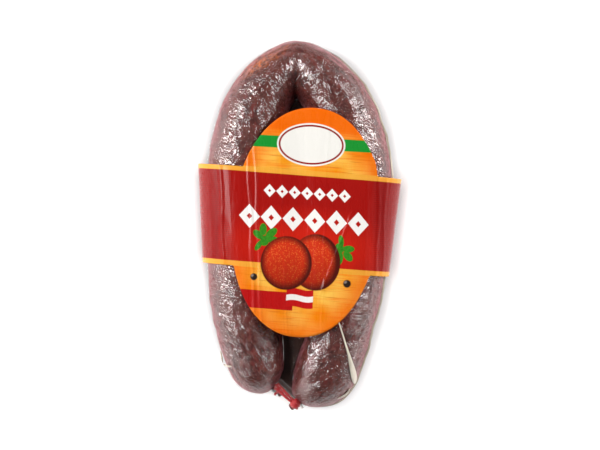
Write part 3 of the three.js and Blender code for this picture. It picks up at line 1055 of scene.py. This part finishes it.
stringLook = {
    "radius": 0.65,
    "steps": 90,
    "sides": 20,
    "strands": 3,
    "twist": 2.4,
    "turnFrom": 3.1,  # from the start of a neck to the string's turn round it
    "turnRadius": 2.15,
    "leftKnot": (-11.3, -81.2, 4.3),
    "rightKnot": (-2.3, -89.5, 4.4),
    "dark": linear(176, 20, 28),
    "light": linear(226, 52, 58),
}


def ropeGrid(path, radius):
    # A twisted cord carried along a path: the section is a circle with cosine lobes that turn with distance.
    look = stringLook
    path = np.asarray(path, float)
    tangent = np.gradient(path, axis=0)
    tangent /= np.linalg.norm(tangent, axis=1)[:, None]
    side = np.cross(tangent, [0.13, 0.21, 0.97])
    side /= np.linalg.norm(side, axis=1)[:, None]
    top = np.cross(side, tangent)
    run = np.concatenate([[0], np.cumsum(np.linalg.norm(np.diff(path, axis=0), axis=1))])[:, None]
    turn = np.linspace(0, 2 * np.pi, look["sides"], endpoint=False)
    lobes = radius * (1 + 0.12 * np.cos(look["strands"] * (turn - run * look["twist"] / 2)))
    sideways, upward = (lobes * np.cos(turn))[..., None], (lobes * np.sin(turn))[..., None]
    return path[:, None] + side[:, None] * sideways + top[:, None] * upward


def ballOfString(centre, radii, turns, seed):
    # A wound knot: the cord's path runs round an ellipsoid while its plane tips from turn to turn.
    t = np.linspace(0, 1, turns * 34)
    rng = np.random.default_rng(seed)
    tip = rng.uniform(0, 2 * np.pi)
    swing = 2 * np.pi * turns * t
    lean = tip + 2.4 * t * np.pi
    flat = 0.92 * np.cos(swing)
    shape = np.stack([flat * np.cos(lean), flat * np.sin(lean), np.sin(swing)], axis=1)
    return np.array(centre) + shape * np.array(radii)


def makeString():
    look = stringLook
    left, right = (np.add(look[end], (0, 0, mid)) for end in ("leftKnot", "rightKnot"))
    up, side = np.array([0, 0, 1.0]), np.array([0.66, 0.75, 0.0])
    cords = []
    t = np.linspace(0, 1, look["steps"])[:, None]
    for sign, lift in ((-1, 0.15), (1, -0.1)):
        path = left * (1 - t) + right * t + side * sign * (0.95 - 0.35 * t)
        cords.append((path + up * (lift + 0.9 * np.sin(np.pi * t)), look["radius"] * (1.3 - 0.35 * t)))
    for centre, radii, seed, turns in ((left, (1.5, 1.35, 1.0), 5, 6), (right, (2.1, 2.1, 1.4), 6, 9)):
        cords.append((ballOfString(centre, radii, turns, seed), look["radius"] * 1.15))
    turn = np.linspace(0, 2 * np.pi, 60)[:, None]
    for start, out, _ in sausageLook["necks"]:
        square = np.array([-out[1], out[0], 0.0])
        middle = np.array([*start, mid]) + np.array([*out, 0.0]) * look["turnFrom"]
        hoop = look["turnRadius"] * (square * np.cos(turn) + up * np.sin(turn))
        cords.append((middle + hoop, look["radius"]))
    grids = [(ropeGrid(path, radius), True, True, True) for path, radius in cords]
    piece = meshPiece("red_tie_string", grids)
    faceOut(piece)
    return piece


def stringMaterial():
    material, output = newMaterial("redString")
    fibre = noise(placeInMm(), 2.4, 3.0, 0.6)
    sockets = {
        "Base Color": mixColour(remap(fibre, 0.3, 0.7), stringLook["dark"], stringLook["light"]),
        "Roughness": remap(fibre, 0.3, 0.7, 0.3, 0.5),
        "Normal": bumped(fibre, 0.4, 0.0003),
        "Sheen Weight": 0.15,
    }
    coverWith(output, sockets)
    return material


def finish(piece, material, slot, *nodes):
    piece.data.materials.append(material)
    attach(piece, "root")
    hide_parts(*nodes)


sausagePiece = makeSausage()
finish(sausagePiece, casingMaterial(), "casing", "sausage")
print("sausage", len(sausagePiece.data.polygons), "faces")

clearFilm = filmMaterial()
for name, side, node in (("upper_film", 1, "front_film"), ("lower_film", -1, "back_film")):
    film = makeFilm(name, side)
    finish(film, clearFilm, "clear_film", node)
    print(name, len(film.data.polygons), "faces")

sleevePiece = makeSleeve()
finish(sleevePiece, sleeveMaterial(), "printed_sleeve", "label_sleeve")
print("sleeve", len(sleevePiece.data.polygons), "faces")

clipMetal = clipMaterial()
for name, neck in zip(("left_clip", "right_clip"), sausageLook["necks"]):
    finish(makeClip(name, neck), clipMetal, "clip_metal", "end_clip_" + name.split("_")[0])
finish(makeString(), stringMaterial(), "red_string", "tie_string")
print("clips and string made")

stage = {
    "floorSize": 3.0,
    "floorTone": (250, 250, 250),
    "cameraHeight": 1.12,
    "lookAt": (0.10, 0.61, 20.0),
    "frameWidth": 0.300,
    "overhead": 0.04,
    "sides": 0.46,
    "ends": 0.25,
    "floorGlow": 0.58,
    "shade": 2.0,  # power of the soft shadow round the pack
    "shadeReach": 0.0125,
    # Lamps: place, size, power.
    "lamps": {
        "leftBox": ((-0.64, 0.12, 0.42), (0.24, 0.70), 6.9),
        "rightBox": ((0.70, 0.30, 0.34), (0.30, 0.62), 5.8),
        "topBox": ((-0.20, 0.80, 0.75), (0.8, 0.10), 0.6),
    },
}


def makeFloor():
    half = stage["floorSize"] / 2
    corners = [(-half, -half, 0), (half, -half, 0), (half, half, 0), (-half, half, 0)]
    mesh = bpy.data.meshes.new("floor")
    mesh.from_pydata(corners, [], [(0, 1, 2, 3)])
    floor = bpy.data.objects.new("floor", mesh)
    scene.collection.objects.link(floor)
    material, output = newMaterial("paleFloor")
    # A soft shadow close round the pack.
    clearing = addNode("AmbientOcclusion", {"Distance": stage["shadeReach"]}).outputs["AO"]
    clearing = maths("POWER", clearing, stage["shade"])
    sockets = {
        "Base Color": mixColour(clearing, (0.0, 0.0, 0.0, 1.0), linear(*stage["floorTone"])),
        "Roughness": 0.8,
        "Emission Color": (1.0, 1.0, 1.0, 1.0),
        "Emission Strength": times(clearing, stage["floorGlow"]),
    }
    coverWith(output, sockets)
    mesh.materials.append(material)


def makeLamps():
    for name, (place, size, power) in stage["lamps"].items():
        lamp = bpy.data.lights.new(name, "AREA")
        lamp.shape = "RECTANGLE"
        lamp.size, lamp.size_y = size
        lamp.energy = power
        lampObject = bpy.data.objects.new(name, lamp)
        lampObject.location = place
        aim = Vector((0, 0, 0.02)) - Vector(place)
        lampObject.rotation_euler = aim.to_track_quat("-Z", "Y").to_euler()
        scene.collection.objects.link(lampObject)
    world = bpy.data.worlds.new("studio")
    world.use_nodes = True
    # The room is dark straight overhead, light at the two sides and dimmer towards the two ends.
    work["tree"] = tree = world.node_tree
    direction = addNode("TexCoord").outputs["Generated"]
    parts = separated(direction)
    side = remap(maths("ABSOLUTE", parts[0]), 0.35, 0.8, stage["ends"], stage["sides"])
    level = mixValue(remap(parts[2], 0.45, 0.8), side, stage["overhead"])
    plug(tree.nodes["Background"].inputs["Strength"], level)
    plug(tree.nodes["Background"].inputs["Color"], (1.0, 1.0, 1.0, 1.0))
    scene.world = world


def makeCamera():
    camera = bpy.data.cameras.new("camera")
    x, y, z = (value * mm for value in stage["lookAt"])
    camera.sensor_width = 36
    camera.lens = 36 * (stage["cameraHeight"] - z) / stage["frameWidth"]
    cameraObject = bpy.data.objects.new("camera", camera)
    cameraObject.location = (x, y, stage["cameraHeight"])
    scene.collection.objects.link(cameraObject)
    scene.camera = cameraObject


makeFloor()
makeLamps()
makeCamera()
scene.view_settings.view_transform = "Standard"
